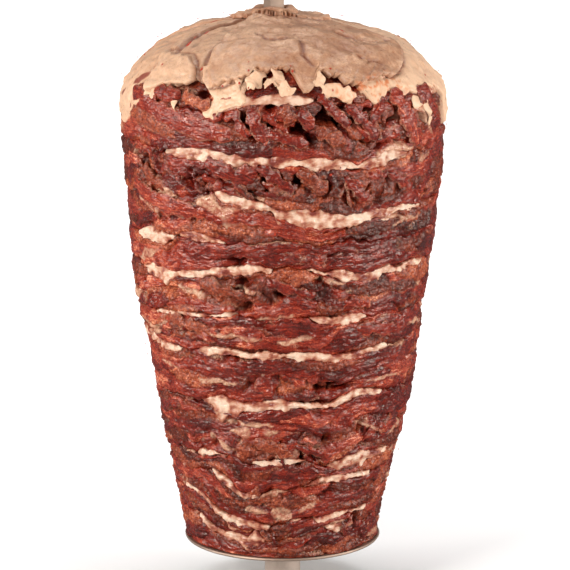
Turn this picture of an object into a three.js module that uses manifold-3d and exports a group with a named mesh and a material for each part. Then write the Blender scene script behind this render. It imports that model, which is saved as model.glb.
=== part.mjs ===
// A stack of sliced kebab meat on its upright spit: tiers of raw meat slices with sheets of fat between
// them, a cap of draped fat sheets, a square bar through the middle, and a round steel plate on a foot.
// Millimetres, +Z up. The origin is the middle of the foot's flat end, and the shown side faces -Y.
// Angles run round the spit in degrees, from 0 at the shown side, and grow towards +X.
import * as THREE from "three";
import { mergeVertices } from "three/addons/utils/BufferGeometryUtils.js";
import Module from "manifold-3d";

// Driving dimensions: the steel.
const FOOT_RADIUS = 18.3;
const FOOT_LENGTH = 50;
const FOOT_CHAMFER = 0.6;
const PLATE_RADIUS = 100;
const PLATE_THICKNESS = 2.5;
const BAR_SIDE = 15;
const BAR_TURN = 28; // how far the bar's front face is turned towards +X
const BAR_LEAN = 0.9; // the bar leans this far towards -X
const BAR_TOP = 590; // height of the bar's top end above the plate

// Driving dimensions: the food. Heights are above the plate.
const BASE_RADIUS = 97;
const SHOULDER_RADIUS = 160.5;
// Slow waves of the flank: [height, waves round the spit, rise for one radian].
const FLANK_WAVES = [[1.4, 3, 45], [1, 5, -27]];
const FLANK_HEIGHT = 430;
const FLANK_POWER = 1.6; // how quickly the flank turns from flaring to upright
const DOME_BASE = 455;
const DOME_HEIGHT = 77;
const CAP_THICKNESS = 10;
const COLLAR_HEIGHT = 9;
const COLLAR_ROUNDING = 2;
const BORE_RADIUS = 11.4;
const TIER_BULGE = 2.5;
const SHEET_BORE_THICKNESS = 3;
const SHEET_THINNEST = 1.2;
const GAP = 0.3; // free space between two pieces that touch
const CAP_ROOM = 1.5; // free space under and behind the cap's sheets
const SPARE = 8; // how far the space cut for the cap stands out of the food

// Each sheet of fat, from the plate up, is named by the arcs where its cut edge shows:
// [from angle, to angle, height at from, height at to, thickness in the arc's middle].
const FAT_SHEETS = [
  [[-52, -11, 33, 16, 11], [27, 43, 29, 30, 8]],
  [[-64, -40, 62, 53, 5], [-39, -5, 47, 35, 6], [23, 59, 43, 46, 4]],
  [[-37, -21, 88, 70, 7], [13, 51, 79, 84, 6]],
  [[-43, -28, 106, 110, 9], [-13, 10, 103, 107, 15], [23, 62, 98, 103, 9]],
  [[-34, -15, 165, 162, 12], [-14, 20, 164, 163, 6], [21, 51, 161, 171, 7]],
  [[-86, -46, 212, 222, 9], [-34, 20, 216, 214, 6], [21, 48, 210, 218, 6]],
  [[-58, -21, 249, 255, 4], [13, 34, 251, 251, 7]],
  [[-63, -38, 287, 291, 15], [-37, -5, 292, 303, 8], [11, 33, 302, 291, 8], [34, 67, 292, 298, 6]],
  [[-66, -44, 324, 326, 14], [-43, -22, 332, 331, 6]],
  [[-24, 3, 375, 358, 8], [4, 28, 354, 348, 15], [29, 64, 350, 354, 6]],
  [[-44, -12, 413, 409, 13], [-11, 13, 408, 406, 8], [14, 50, 404, 406, 16]],
  [[-27, 9, 465, 465, 9]],
];
const BACK_TURN = 180; // the far side repeats the shown arcs, turned by this

// The cap's hem: its height away from any lobe, and its lobes [angle, half width, drop].
const HEM_HEIGHT = 471;
const HEM_LOBES = [
  [-72, 11, 40], [-24, 5, 24], [0, 17, -19], [31, 5, 9], [77, 9, 43],
  [120, 15, 18], [152, 9, 30], [186, 14, 12], [214, 8, 32], [245, 14, 22],
];
// The angles where one sheet of the cap meets the next, and the sheets' names.
const CAP_SEAMS = [-30, 37.5, 105, 180, 255, 330];
const CAP_NAMES = ["front", "right", "back_right", "back_left", "left"];
const CAP_ROWS = [84, 65, 46, 28]; // angles up the dome's ellipse, from the collar down
const CAP_LOW_ROWS = [14, 0]; // the next two rows stay at or above these angles

// Stations round the spit: close together on the shown half, wider on the far half.
const FRONT_STEP = 9;
const BACK_STEP = 18;
const FOOT_SEGMENTS = 48;
const PLATE_SEGMENTS = 72;

const PLATE_TOP = FOOT_LENGTH + PLATE_THICKNESS;
const radians = THREE.MathUtils.degToRad;
const lerp = THREE.MathUtils.lerp;

const wasm = await Module();
wasm.setup();

function stations() {
  const angles = [];
  for (let a = -90; a < 90; a += FRONT_STEP) angles.push(a);
  for (let a = 90; a < 270; a += BACK_STEP) angles.push(a);
  return angles;
}

// The bar's axis at a height above the plate lies this far from the stack's axis, along X.
function barOffset(height) {
  return -Math.tan(radians(BAR_LEAN)) * height;
}

// The stack's radius: a flaring flank, upright at its shoulder, with slow waves round and up it.
function flankRadius(angle, height) {
  const rise = THREE.MathUtils.clamp(height / FLANK_HEIGHT, 0, 1);
  const flare = 1 - (1 - rise) ** FLANK_POWER;
  return FLANK_WAVES.reduce(
    (radius, [size, round, climb]) => radius + size * Math.sin(radians(round * angle) + height / climb),
    lerp(BASE_RADIUS, SHOULDER_RADIUS, flare),
  );
}

// A point of the cap, by its angle up the dome's ellipse. Below 0 it runs down the flank.
// inset is how far it lies under the cap's outer face.
function capPoint(angle, upDome, inset) {
  if (upDome < 0) {
    const height = DOME_BASE + DOME_HEIGHT * upDome;
    return { r: flankRadius(angle, height) - inset, z: height, x: 0 };
  }
  const dome = DOME_HEIGHT - inset;
  return {
    r: (flankRadius(angle, DOME_BASE) - inset) * Math.cos(upDome),
    z: DOME_BASE + dome * Math.sin(upDome),
    x: barOffset(DOME_BASE + dome) * Math.sin(upDome) ** 2,
  };
}

function hemHeight(angle) {
  return HEM_LOBES.reduce((height, [at, halfWidth, drop]) => {
    const away = THREE.MathUtils.euclideanModulo(angle - at + 180, 360) - 180;
    return height - drop * Math.exp(-((away / halfWidth) ** 2));
  }, HEM_HEIGHT);
}

// The angle up the dome's ellipse of a height on the cap, the inverse of capPoint.
function upDomeAt(height) {
  const share = (height - DOME_BASE) / DOME_HEIGHT;
  return share > 0 ? Math.asin(Math.min(share, 1)) : share;
}

// Height and thickness of a fat sheet's edge at an angle: straight along an arc and between two arcs,
// and as thick as a lens in an arc, down to its thinnest between them.
function sheetEdge(arcs, angle) {
  const all = [-2, -1, 0, 1, 2]
    .map((times) => times * BACK_TURN)
    .flatMap((turn) => arcs.map(([from, to, ...rest]) => [from + turn, to + turn, ...rest]));
  const inside = all.find(([from, to]) => angle >= from && angle <= to);
  if (inside) {
    const [from, to, start, end, thickness] = inside;
    const along = (angle - from) / (to - from);
    const lens = 1 - (2 * along - 1) ** 4;
    return { height: lerp(start, end, along), thickness: Math.max(SHEET_THINNEST, thickness * lens) };
  }
  const before = all.filter(([, to]) => to < angle).sort((a, b) => b[1] - a[1])[0];
  const after = all.filter(([from]) => from > angle).sort((a, b) => a[0] - b[0])[0];
  const along = (angle - before[1]) / (after[0] - before[1]);
  return { height: lerp(before[3], after[2], along), thickness: SHEET_THINNEST };
}

function meanHeight(arcs) {
  return arcs.reduce((sum, [, , start, end]) => sum + (start + end) / 2, 0) / arcs.length;
}

// A ring swept round the spit. sectionAt(angle) gives its closed outline of {r, z, x} points, as many at
// every angle: x is how far a point's circle lies off the stack's axis.
function sweep(sectionAt) {
  const angles = stations();
  const rows = angles.map(sectionAt);
  const size = rows[0].length;
  const positions = rows.flatMap((row, i) => row.flatMap(({ r, z, x }) => [
    r * Math.sin(radians(angles[i])) + x,
    -r * Math.cos(radians(angles[i])),
    z + PLATE_TOP,
  ]));
  const faces = [];
  rows.forEach((row, i) => {
    const next = (i + 1) % rows.length;
    row.forEach(({ r, z }, j) => {
      const k = (j + 1) % size;
      const [a, b, c, d] = [i * size + j, next * size + j, next * size + k, i * size + k];
      // Every face is split from its upper, inner side to its lower, outer side: two pieces lie flush.
      if (r - z < row[k].r - row[k].z) faces.push(a, b, c, a, c, d);
      else faces.push(a, b, d, b, c, d);
    });
  });
  const geometry = new THREE.BufferGeometry();
  geometry.setAttribute("position", new THREE.Float32BufferAttribute(positions, 3));
  geometry.setIndex(faces);
  return geometry;
}

function solidOf(geometry) {
  geometry.deleteAttribute("normal");
  geometry.deleteAttribute("uv");
  const merged = mergeVertices(geometry);
  return new wasm.Manifold(new wasm.Mesh({
    numProp: 3,
    vertProperties: merged.attributes.position.array,
    triVerts: new Uint32Array(merged.index.array),
  }));
}

function geometryOf(solid) {
  const mesh = solid.getMesh();
  const geometry = new THREE.BufferGeometry();
  geometry.setAttribute("position", new THREE.BufferAttribute(mesh.vertProperties, 3));
  geometry.setIndex(new THREE.BufferAttribute(mesh.triVerts, 1));
  return geometry;
}

function borePoint(height) {
  return { r: BORE_RADIUS, z: height, x: barOffset(height) };
}

function rimPoint(angle, height, out = 0) {
  const dome = Math.sqrt(1 - Math.max(0, (height - DOME_BASE) / DOME_HEIGHT) ** 2);
  return { r: flankRadius(angle, height) * dome + out, z: height, x: 0 };
}

// One sheet of fat between two tiers, thin where its edge doesn't show.
function fatSheet(arcs) {
  const inner = meanHeight(arcs);
  const half = SHEET_BORE_THICKNESS / 2;
  return sweep((angle) => {
    const { height, thickness } = sheetEdge(arcs, angle);
    return [
      borePoint(inner + half), borePoint(inner - half),
      rimPoint(angle, height - thickness / 2), rimPoint(angle, height + thickness / 2),
    ];
  });
}

// The heights of a tier's lower or upper face, at the bore and at the rim, beside a sheet.
function besideSheet(arcs, side, angle) {
  const { height, thickness } = sheetEdge(arcs, angle);
  return {
    bore: meanHeight(arcs) + side * (SHEET_BORE_THICKNESS / 2 + GAP),
    rim: height + side * (thickness / 2 + GAP),
  };
}

// One tier of meat slices between two sheets, or between the plate and the lowest sheet.
function meatTier(below, above) {
  return sweep((angle) => {
    const low = below ? besideSheet(below, 1, angle) : { bore: GAP, rim: GAP };
    const high = besideSheet(above, -1, angle);
    return [
      borePoint(high.bore), borePoint(low.bore),
      rimPoint(angle, low.rim),
      rimPoint(angle, (low.rim + high.rim) / 2, TIER_BULGE),
      rimPoint(angle, high.rim),
    ];
  });
}

// The top tier: a dome of meat under the cap.
function domeTier(below) {
  const inset = CAP_THICKNESS + CAP_ROOM;
  const rows = CAP_ROWS.map(radians).reverse();
  const top = capPoint(0, rows.at(-1), inset).z;
  return sweep((angle) => {
    const low = besideSheet(below, 1, angle);
    const rim = Math.asin((low.rim - DOME_BASE) / (DOME_HEIGHT - inset));
    return [
      borePoint(top), borePoint(low.bore),
      ...[rim, ...rows].map((up) => capPoint(angle, up, inset)),
    ];
  });
}

// The cap's cross-section: down its outer face from the bar to the hem, and back up its inner face.
// It is let out below, within and outside for the space that the cap takes from the food.
function capSection(angle, below = 0, within = 0, outside = 0) {
  const fixed = CAP_ROWS.map(radians);
  const hem = upDomeAt(hemHeight(angle) - below);
  const low = [2 / 3, 5 / 6].map((share, i) => {
    return Math.max(lerp(fixed.at(-1), hem, share), radians(CAP_LOW_ROWS[i]));
  });
  const rows = [...fixed, ...low, hem];
  const outer = rows.map((up) => capPoint(angle, up, -outside));
  const inner = rows.map((up) => capPoint(angle, up, CAP_THICKNESS + within)).reverse();
  return [...outer, ...inner].reverse();
}

// The space between two upright seams of the cap, held back from both.
function sector(from, to) {
  const half = radians(to - from) / 2;
  const reach = 2 * SHOULDER_RADIUS;
  const far = [-half, half].map((a) => new THREE.Vector2(reach * Math.cos(a), reach * Math.sin(a)));
  const wedge = new THREE.Shape([new THREE.Vector2(0, 0), ...far]);
  return new THREE.ExtrudeGeometry(wedge, { depth: PLATE_TOP + BAR_TOP, bevelEnabled: false })
    .translate(GAP / 2 / Math.sin(half), 0, 0)
    .rotateZ(radians((from + to) / 2 - 90));
}

// The bunched fat round the bar, at the top of the cap.
function collar() {
  const low = DOME_BASE + DOME_HEIGHT - CAP_THICKNESS;
  const waist = low + CAP_THICKNESS;
  const top = waist + COLLAR_HEIGHT;
  const outside = SHOULDER_RADIUS * Math.cos(radians(CAP_ROWS[0])) - CAP_ROOM;
  const x = barOffset(waist);
  return sweep(() => [
    { r: BORE_RADIUS, z: top - COLLAR_ROUNDING, x },
    { r: BORE_RADIUS, z: low, x },
    { r: outside - CAP_ROOM, z: low, x },
    { r: outside, z: waist, x },
    { r: BORE_RADIUS + COLLAR_ROUNDING, z: top, x },
  ]);
}

// A round steel piece: its outline from the axis below to the axis above, turned about Z.
function turned(outline, segments) {
  const geometry = new THREE.LatheGeometry(outline.map(([r, z]) => new THREE.Vector2(r, z)), segments);
  return geometry.rotateX(Math.PI / 2);
}

function foot() {
  const inset = FOOT_RADIUS - FOOT_CHAMFER;
  const top = FOOT_LENGTH - GAP;
  const outline = [[0, 0], [inset, 0], [FOOT_RADIUS, FOOT_CHAMFER], [FOOT_RADIUS, top], [0, top]];
  return turned(outline, FOOT_SEGMENTS);
}

function plate() {
  const edge = PLATE_RADIUS - PLATE_THICKNESS / 3;
  const low = FOOT_LENGTH;
  const middle = low + PLATE_THICKNESS / 2;
  const outline = [[0, low], [edge, low], [PLATE_RADIUS, middle], [edge, PLATE_TOP], [0, PLATE_TOP]];
  return turned(outline, PLATE_SEGMENTS);
}

function bar() {
  const clear = 2 * GAP; // the leaning end stays off the plate
  return new THREE.BoxGeometry(BAR_SIDE, BAR_SIDE, BAR_TOP - clear)
    .rotateZ(radians(BAR_TURN))
    .translate(0, 0, clear + (BAR_TOP - clear) / 2);
}

const steel = new THREE.MeshStandardMaterial({ color: 0xb0a69e, roughness: 0.32, metalness: 1 });
const meat = new THREE.MeshStandardMaterial({ color: 0x8a3a30, roughness: 0.4 });
const fat = new THREE.MeshStandardMaterial({ color: 0xe6c3a4, roughness: 0.5 });
const capFat = new THREE.MeshStandardMaterial({ color: 0xcfa588, roughness: 0.55 });

const kebab = new THREE.Group();

function add(name, geometry, material) {
  const mesh = new THREE.Mesh(geometry, material);
  mesh.name = name;
  kebab.add(mesh);
  return mesh;
}

const numbered = (word, i) => `${word}_${String(i + 1).padStart(2, "0")}`;

add("foot", foot(), steel);
add("plate", plate(), steel);
const barMesh = add("bar", bar(), steel);
barMesh.position.z = PLATE_TOP;
barMesh.rotation.y = -radians(BAR_LEAN);

// The cap hangs over the highest sheet and the tier under it, so its space is cut from them.
const cap = solidOf(sweep((angle) => capSection(angle)));
const capSpace = solidOf(sweep((angle) => capSection(angle, CAP_ROOM, CAP_ROOM, SPARE)));

function underCap(geometry) {
  const bodies = solidOf(geometry).subtract(capSpace).decompose();
  return geometryOf(bodies.sort((a, b) => b.volume() - a.volume())[0]);
}

FAT_SHEETS.forEach((arcs, i) => {
  const highest = i === FAT_SHEETS.length - 1;
  const tier = meatTier(FAT_SHEETS[i - 1], arcs);
  const sheet = fatSheet(arcs);
  add(numbered("meat_tier", i), highest ? underCap(tier) : tier, meat);
  add(numbered("fat_sheet", i), highest ? underCap(sheet) : sheet, fat);
});
add(numbered("meat_tier", FAT_SHEETS.length), domeTier(FAT_SHEETS.at(-1)), meat);

CAP_NAMES.forEach((name, i) => {
  const sheet = cap.intersect(solidOf(sector(CAP_SEAMS[i], CAP_SEAMS[i + 1])));
  add(`fat_cap_${name}`, geometryOf(sheet), capFat);
});
add("fat_collar", collar(), capFat);

export default kebab;
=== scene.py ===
"""A raw kebab stack on its upright spit: pressed meat slices, sheets of fat between them, a draped cap.

Lengths of the food are millimetres and heights are above the plate's top, until mesh_object() turns a
finished surface into metres in the part's own frame. Camera, lights and floor are in metres. Angles are
degrees round the spit, from 0 at the shown side (-Y) and growing towards +X, so the far side lies at 180.
"""
import math

import bpy
import mathutils
import numpy as np
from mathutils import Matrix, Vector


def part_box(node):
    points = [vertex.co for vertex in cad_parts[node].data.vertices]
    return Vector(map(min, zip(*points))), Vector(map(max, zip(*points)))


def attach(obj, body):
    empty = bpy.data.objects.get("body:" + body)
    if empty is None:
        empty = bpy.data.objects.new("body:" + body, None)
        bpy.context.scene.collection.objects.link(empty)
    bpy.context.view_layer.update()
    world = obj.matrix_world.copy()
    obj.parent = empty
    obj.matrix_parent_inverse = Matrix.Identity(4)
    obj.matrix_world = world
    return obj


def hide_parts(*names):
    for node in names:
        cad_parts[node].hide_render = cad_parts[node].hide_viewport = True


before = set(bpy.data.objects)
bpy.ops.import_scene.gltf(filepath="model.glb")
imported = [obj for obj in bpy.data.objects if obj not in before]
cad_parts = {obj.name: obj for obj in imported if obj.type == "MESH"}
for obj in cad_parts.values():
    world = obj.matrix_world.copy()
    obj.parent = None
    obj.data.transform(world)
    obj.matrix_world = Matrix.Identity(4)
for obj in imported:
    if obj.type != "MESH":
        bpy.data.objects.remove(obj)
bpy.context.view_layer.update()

# ---------------------------------------------------------------------------------------------------
# Sizes from the frame, in millimetres
# ---------------------------------------------------------------------------------------------------
METRE = 1000.0
PLATE_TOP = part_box("plate")[1].z * METRE
PLATE_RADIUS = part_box("plate")[1].x * METRE
FOOT_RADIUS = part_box("foot")[1].x * METRE
BASE_RADIUS = PLATE_RADIUS - 3.0
SHOULDER_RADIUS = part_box("meat_tier_12")[1].x * METRE - 3.0
DOME_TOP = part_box("fat_cap_front")[1].z * METRE - PLATE_TOP
BAR_LEAN = math.radians(0.9)
DOME_BASE = 455.0
DOME_HEIGHT = DOME_TOP - DOME_BASE
FLANK_HEIGHT = 430.0
FLANK_POWER = 1.6

# Stations round the stack: fine on the shown side, a little wider behind.
FINE_STEP, WIDE_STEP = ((0.42, 0.6))
FINE_HALF = 80.0
fine = np.arange(-FINE_HALF, FINE_HALF, FINE_STEP)
wide = np.linspace(FINE_HALF, 360.0 - FINE_HALF, int((360.0 - 2 * FINE_HALF) / WIDE_STEP), endpoint=False)
STATIONS = np.concatenate([fine, wide])
ROW_STEP = 1.15
CAP_STEP = 1.5
DEPTH = 22.0  # how far each ring of food reaches in behind its rim
TUCK = 0.42  # share of a sheet's thickness that lies free between the tiers, to each side of its middle
HALF_TURNS = (0, 180)  # the shown side, and the far side that repeats it
COLLAR_EDGE = math.radians(84.5)  # the dome's angle where the sheets that reach the collar end
COLLAR_REACH = 520.0  # a sheet whose upper edge starts above this reaches the collar

# Camera, in metres and degrees, and the sky's strength
LENS, SENSOR = 165.7, 36.0
CAMERA_ASIDE, CAMERA_AWAY, CAMERA_ABOVE_PLATE = 0.0026, 2.6, 0.786
CAMERA_DOWN = 11.485
SKY = 0.22


# ---------------------------------------------------------------------------------------------------
# Noise and cells, worked out on whole arrays
# ---------------------------------------------------------------------------------------------------
EDGES = np.array(
    [(1, 1, 0), (-1, 1, 0), (1, -1, 0), (-1, -1, 0), (1, 0, 1), (-1, 0, 1), (1, 0, -1), (-1, 0, -1),
     (0, 1, 1), (0, -1, 1), (0, 1, -1), (0, -1, -1), (1, 1, 0), (-1, 1, 0), (0, -1, 1), (0, -1, -1)],
    np.float32,
)


def mixed(ix, iy, iz, seed):
    """A random whole number for each lattice corner: its indices times large odd factors, mixed twice."""
    h = ix.astype(np.uint32) * np.uint32(374761393)
    h += iy.astype(np.uint32) * np.uint32(668265263)
    h += iz.astype(np.uint32) * np.uint32(2246822519)
    h += np.uint32((seed * 3266489917 + 97) & 0xFFFFFFFF)
    h = (h ^ (h >> np.uint32(15))) * np.uint32(2146121005)
    h = (h ^ (h >> np.uint32(13))) * np.uint32(1274126177)
    return h ^ (h >> np.uint32(16))


def chance(number, salt):
    """A share from 0 to 1 drawn from a random whole number; each salt gives another draw."""
    return mixed(number, number, number, salt).astype(np.float32) / np.float32(4294967296.0)


def noise(p, size, seed):
    """Smooth noise from about -1 to 1: slopes drawn at the corners of a lattice of the given size, and
    blended with the curve 6t^5 - 15t^4 + 10t^3. size is one number, or one for each axis."""
    q = p / np.asarray(size, np.float64)
    whole = np.floor(q)
    f = (q - whole).astype(np.float32)
    i = whole.astype(np.int64)
    w = f * f * f * (f * (f * 6 - 15) + 10)
    total = np.zeros(f.shape[:-1], np.float32)
    for dx in (0, 1):
        for dy in (0, 1):
            for dz in (0, 1):
                slope = EDGES[mixed(i[..., 0] + dx, i[..., 1] + dy, i[..., 2] + dz, seed) & np.uint32(15)]
                rise = (
                    slope[..., 0] * (f[..., 0] - dx)
                    + slope[..., 1] * (f[..., 1] - dy)
                    + slope[..., 2] * (f[..., 2] - dz)
                )
                share = (
                    (w[..., 0] if dx else 1 - w[..., 0])
                    * (w[..., 1] if dy else 1 - w[..., 1])
                    * (w[..., 2] if dz else 1 - w[..., 2])
                )
                total += rise * share
    return total * 1.6


def layered(p, *layers):
    """The sum of several noises, each given as (weight, size, seed)."""
    return sum(weight * noise(p, size, seed) for weight, size, seed in layers)


def lumps(angle, up, reach, long, tall, tilt, stand, seed):
    """The face of a pile of leaning egg-shaped lumps. Each cell of a grid, `long` by `tall` and closed round
    the stack, holds one lump with its own place, turn, size and stand, and the one that stands out furthest
    at a point is the one seen there. A lump's face is its stand + 0.42 tall (1 - q^2)^0.5, leaning out at
    its lower side and falling away past q = 1, with q the sum of its squared ways along and across over
    its half sizes. reach is the stack's girth. Returns the face, its lead over the next lump, the lump's
    number, the way along and across it, and q."""
    around = max(6, int(round(reach / long)))
    long = reach / around
    a, b = angle / 360 * around, up / tall
    ia, ib = np.floor(a).astype(np.int64), np.floor(b).astype(np.int64)
    face = np.full(a.shape, -30.0, np.float32)
    second, along, across, q_seen = face.copy(), face.copy(), face.copy(), face.copy()
    ident = np.zeros(a.shape, np.uint32)
    for sa in (-1, 0, 1):
        for sb in (-1, 0, 1):
            ca, cb = ia + sa, ib + sb
            number = mixed(ca % around, cb, ca * 0, seed)
            da = (a - (ca + 0.1 + 0.8 * chance(number, 1))) * long
            db = (b - (cb + 0.1 + 0.8 * chance(number, 2))) * tall
            turn = tilt * (2 * chance(number, 3) - 1)
            u = da * np.cos(turn) + db * np.sin(turn)
            w = db * np.cos(turn) - da * np.sin(turn)
            half_u = long * (0.5 + 0.6 * chance(number, 4))
            half_w = tall * (0.5 + 0.6 * chance(number, 5))
            q = (u / half_u) ** 2 + (w / half_w) ** 2
            rise = 0.42 * tall * np.sqrt(np.clip(1 - q * q, 0, 1)) - np.maximum(q - 1, 0) * 1.2 * tall
            h = (stand * (2 * chance(number, 6) - 1) + rise - 0.12 * w).astype(np.float32)
            ahead = h > face
            second = np.where(ahead, face, np.maximum(second, h))
            face = np.where(ahead, h, face)
            ident = np.where(ahead, number, ident)
            along, across = np.where(ahead, u, along), np.where(ahead, w, across)
            q_seen = np.where(ahead, q, q_seen)
    return face, face - second, ident, along, across, q_seen


def smooth(low, high, value):
    """0 below low, 1 above high, and the curve 3t^2 - 2t^3 between."""
    t = np.clip((value - low) / (high - low), 0, 1)
    return t * t * (3 - 2 * t)


def wrapped(angle):
    """The same angle between -180 and 180."""
    return (angle + 180.0) % 360.0 - 180.0


# ---------------------------------------------------------------------------------------------------
# The stack's outline
# ---------------------------------------------------------------------------------------------------
def flank(angle, height):
    """Radius of the stack: a flank that flares from the plate and stands upright at the shoulder, closed
    above by a dome's ellipse, with slow waves round and up it."""
    rise = np.clip(height / FLANK_HEIGHT, 0, 1)
    radius = BASE_RADIUS + (SHOULDER_RADIUS - BASE_RADIUS) * (1 - (1 - rise) ** FLANK_POWER)
    for size, turns, climb in ((1.4, 3, 45.0), (1.0, 5, -27.0)):
        radius = radius + size * np.sin(np.radians(turns * angle) + height / climb)
    share = np.clip((height - DOME_BASE) / DOME_HEIGHT, 0, 1)
    return radius * np.sqrt(1 - share * share)


def shoulder(height):
    """How much flatter the stack is than a true ellipse just above its shoulder."""
    return 3.2 * np.exp(-(((height - 482) / 18) ** 2))


def place(angle, radius, height):
    """Points in millimetres from an angle, a radius and a height above the plate."""
    a = np.radians(angle)
    return np.stack([radius * np.sin(a), -radius * np.cos(a), height + 0 * a], -1)


# Each sheet of fat, from the plate up, by the arcs where its cut edge shows. A point is
# (angle, height, thickness), and an arc thins out at both ends.
STRATA = [
    [[(-54, 36, 3), (-45, 24, 7), (-35, 20, 9), (-25, 17, 10), (-21, 15, 5), (-15, 19, 13), (-11, 17, 5)],
     [(25, 31, 4), (31, 29, 8), (38, 30, 7), (43, 33, 3)]],
    [[(-64, 64, 4), (-52, 60, 4), (-45, 58, 5), (-38, 46, 5), (-30, 40, 6), (-20, 36, 7), (-8, 34, 5)],
     [(18, 41, 3), (25, 43, 4), (40, 47, 4), (52, 46, 3)]],
    [[(-37, 89, 3), (-30, 84, 7), (-25, 73, 7), (-21, 66, 5), (-13, 70, 3)],
     [(12, 78, 3), (20, 82, 6), (30, 84, 6), (42, 84, 5), (50, 82, 3)]],
    [[(-44, 107, 5), (-38, 108, 9), (-32, 108, 8), (-28, 109, 4)],
     [(-13, 104, 6), (-8, 103, 14), (2, 105, 13), (10, 108, 6)],
     [(24, 99, 5), (35, 100, 9), (43, 104, 10), (50, 101, 6), (60, 103, 5)]],
    [[(-36, 164, 3), (-31, 165, 9), (-25, 164, 14), (-18, 162, 10), (-10, 163, 6), (0, 166, 6),
      (10, 164, 5), (19, 161, 4), (26, 166, 7), (33, 171, 8), (41, 173, 6), (48, 168, 4)]],
    [[(-84, 221, 8), (-70, 219, 9), (-58, 214, 7), (-46, 213, 5)],
     [(-34, 217, 5), (-24, 216, 7), (-12, 215, 6), (0, 217, 5), (12, 214, 6), (21, 211, 7), (34, 214, 6),
      (46, 219, 5)]],
    [[(-60, 248, 3), (-48, 250, 4), (-34, 252, 4), (-20, 256, 3)],
     [(12, 252, 5), (20, 251, 8), (33, 251, 6)]],
    [[(-63, 291, 7), (-57, 289, 16), (-49, 287, 15), (-42, 290, 9), (-34, 294, 8), (-24, 298, 9),
      (-13, 301, 8), (-5, 302, 6)],
     [(10, 303, 4), (17, 299, 8), (26, 292, 9), (32, 290, 10), (40, 294, 7), (52, 298, 5), (66, 297, 4)]],
    [[(-65, 324, 9), (-58, 325, 16), (-50, 324, 14), (-44, 326, 4)],
     [(-40, 331, 5), (-31, 331, 8), (-22, 329, 5)]],
    [[(-23, 375, 6), (-16, 369, 9), (-8, 364, 8), (-1, 359, 8), (6, 355, 13), (13, 352, 15), (20, 349, 10),
      (27, 350, 9), (34, 353, 8), (44, 355, 6), (60, 354, 4)]],
    [[(-45, 414, 3), (-38, 412, 7), (-30, 412, 11), (-21, 411, 13), (-13, 408, 9), (-5, 408, 7), (4, 407, 8),
      (12, 406, 10), (20, 404, 15), (27, 400, 19), (34, 402, 15), (41, 408, 12), (48, 409, 5)]],
    [[(-23, 455, 6), (-18, 459, 8), (-11, 464, 8), (-3, 467, 8), (4, 466, 8), (10, 464, 5)]],
]
TIERS = len(STRATA) + 1


def periodic(points, column, angle):
    """A value along a ring, straight between points and repeating after a full turn."""
    at = np.array([p[0] for p in points], float)
    value = np.array([p[column] for p in points], float)
    order = np.argsort(at)
    return np.interp(angle, at[order], value[order], period=360.0)


def sheet_line(level, angle):
    """Height, thickness and showing share of a sheet's edge at each angle. The far side repeats the shown
    arcs, turned half round. Between two arcs the height runs straight and the thickness is nothing."""
    height_points, thick_points = [], []
    for turn in HALF_TURNS:
        for arc in STRATA[level]:
            height_points += [(a + turn, h) for a, h, _ in arc]
            ends = [(arc[0][0] + turn - 1.5, 0.0)] + [(a + turn, t) for a, _, t in arc]
            thick_points += ends + [(arc[-1][0] + turn + 1.5, 0.0)]
    blur = np.linspace(-2.5, 2.5, 5)
    height = np.mean([periodic(height_points, 1, angle + d) for d in blur], 0)
    thick = np.mean([periodic(thick_points, 1, angle + d * 0.5) for d in blur], 0)
    show = smooth(0.5, 3.0, thick)
    p = place(angle, flank(angle, height), height)
    height = height + (1 - 0.65 * show) * layered(p, (2.4, 45, 401), (3.2, 19, 402), (1.6, 8, 403))
    thick = thick * (1 + 0.45 * noise(p, 30, 404) + 0.3 * noise(p, 11, 405))
    return height, thick, show


# ---------------------------------------------------------------------------------------------------
# Meshes
# ---------------------------------------------------------------------------------------------------
def mesh_object(name, points, faces, material, attributes):
    """A mesh piece from points in the part's frame in millimetres above the plate, smooth all over."""
    points = np.array(points, np.float64).reshape(-1, 3)
    points[:, 2] += PLATE_TOP
    mesh = bpy.data.meshes.new(name)
    mesh.vertices.add(len(points))
    mesh.vertices.foreach_set("co", (points / METRE).astype(np.float32).ravel())
    faces = np.asarray(faces, np.int32)
    count, sides = faces.shape
    mesh.loops.add(count * sides)
    mesh.loops.foreach_set("vertex_index", faces.ravel())
    mesh.polygons.add(count)
    mesh.polygons.foreach_set("loop_start", np.arange(0, count * sides, sides, dtype=np.int32))
    mesh.polygons.foreach_set("use_smooth", np.ones(count, bool))
    mesh.update()
    for key, value in attributes.items():
        value = np.asarray(value, np.float32)
        kind, field = ("FLOAT_VECTOR", "vector") if value.size == 3 * len(points) else ("FLOAT", "value")
        mesh.attributes.new(key, kind, "POINT").data.foreach_set(field, value.ravel())
    mesh.materials.append(material)
    piece = bpy.data.objects.new(name, mesh)
    bpy.context.scene.collection.objects.link(piece)
    return piece


def grid_faces(rows, columns, wrap_rows, wrap_columns, start=0):
    """Four-sided faces of a grid of points, closed along either way if asked."""
    r = np.arange(rows if wrap_rows else rows - 1)
    c = np.arange(columns if wrap_columns else columns - 1)
    r, c = (x.ravel() for x in np.meshgrid(r, c, indexing="ij"))
    r2, c2 = (r + 1) % rows, (c + 1) % columns
    return start + np.stack([r * columns + c, r * columns + c2, r2 * columns + c2, r2 * columns + c], -1)


def put(piece, slot, *nodes):
    """Rides a piece on the part's one body and hides the solids that it stands for. slot is not used."""
    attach(piece, "root")
    if nodes:
        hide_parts(*nodes)
    return piece


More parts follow.
